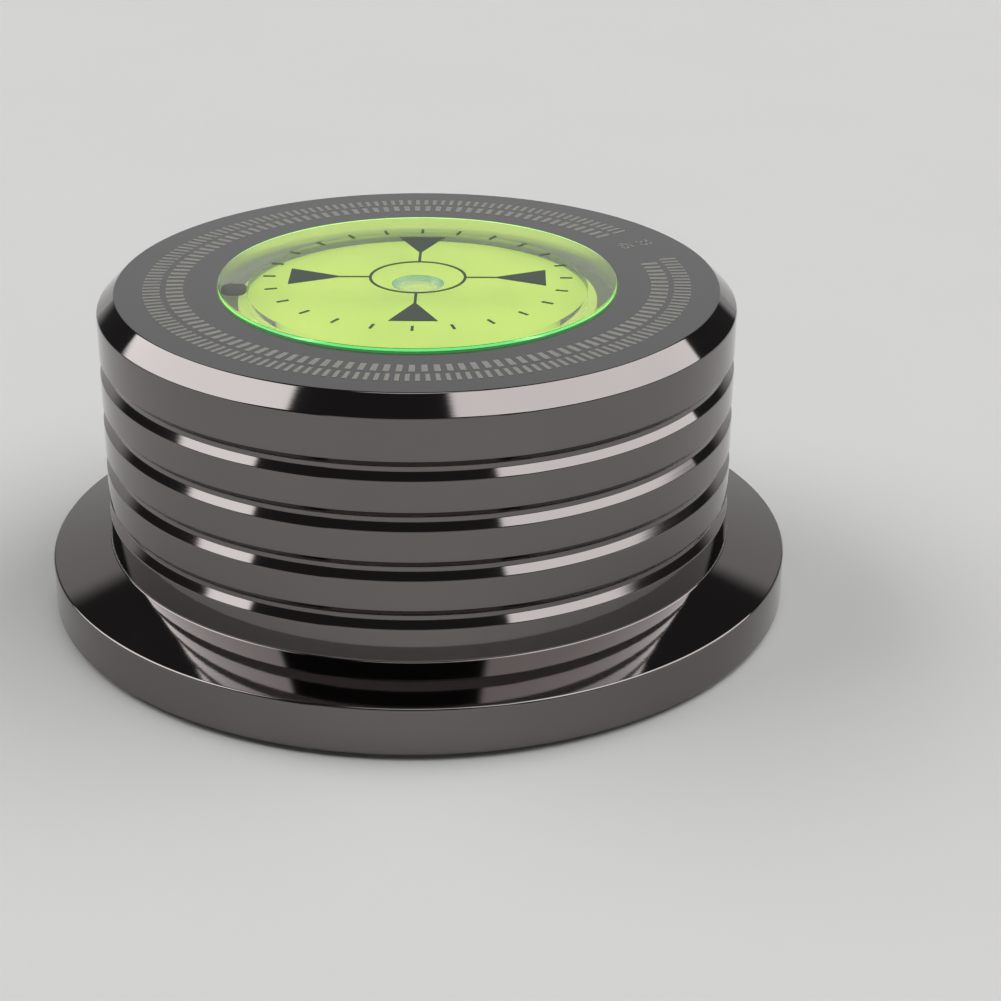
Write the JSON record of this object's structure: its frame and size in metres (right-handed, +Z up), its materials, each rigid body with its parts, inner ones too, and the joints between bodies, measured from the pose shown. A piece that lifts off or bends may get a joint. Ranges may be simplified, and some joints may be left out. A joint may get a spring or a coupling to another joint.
{
  "type": "record weight",
  "caption": "Flanged, grooved metal drum that weighs down a record over the turntable spindle, with a bull's-eye level and strobe rings in its top and a soft pad below.",
  "frame": {"origin": "centre of the resting face, on the underside of the pad", "axes": "+Z up along the turning axis, +X to the right and -Y to the front as in the reference view, with the level's fill plug on the -X side"},
  "size_m": [0.08, 0.08, 0.0351],
  "materials": {
    "gunmetal": "polished",
    "pad": "matte",
    "clear_acrylic": "polished",
    "lime_base": "matte",
    "lime_liquid": "gloss",
    "plug": "satin",
    "dark_print": "satin",
    "pale_print": "satin"
  },
  "bodies": {
    "root": {"body": "gunmetal", "base_pad": "pad", "level_cup": "clear_acrylic", "level_base": "lime_base", "level_fluid": "lime_liquid", "level_fill_plug": "plug", "level_target": "dark_print"}
  },
  "joints": []
}
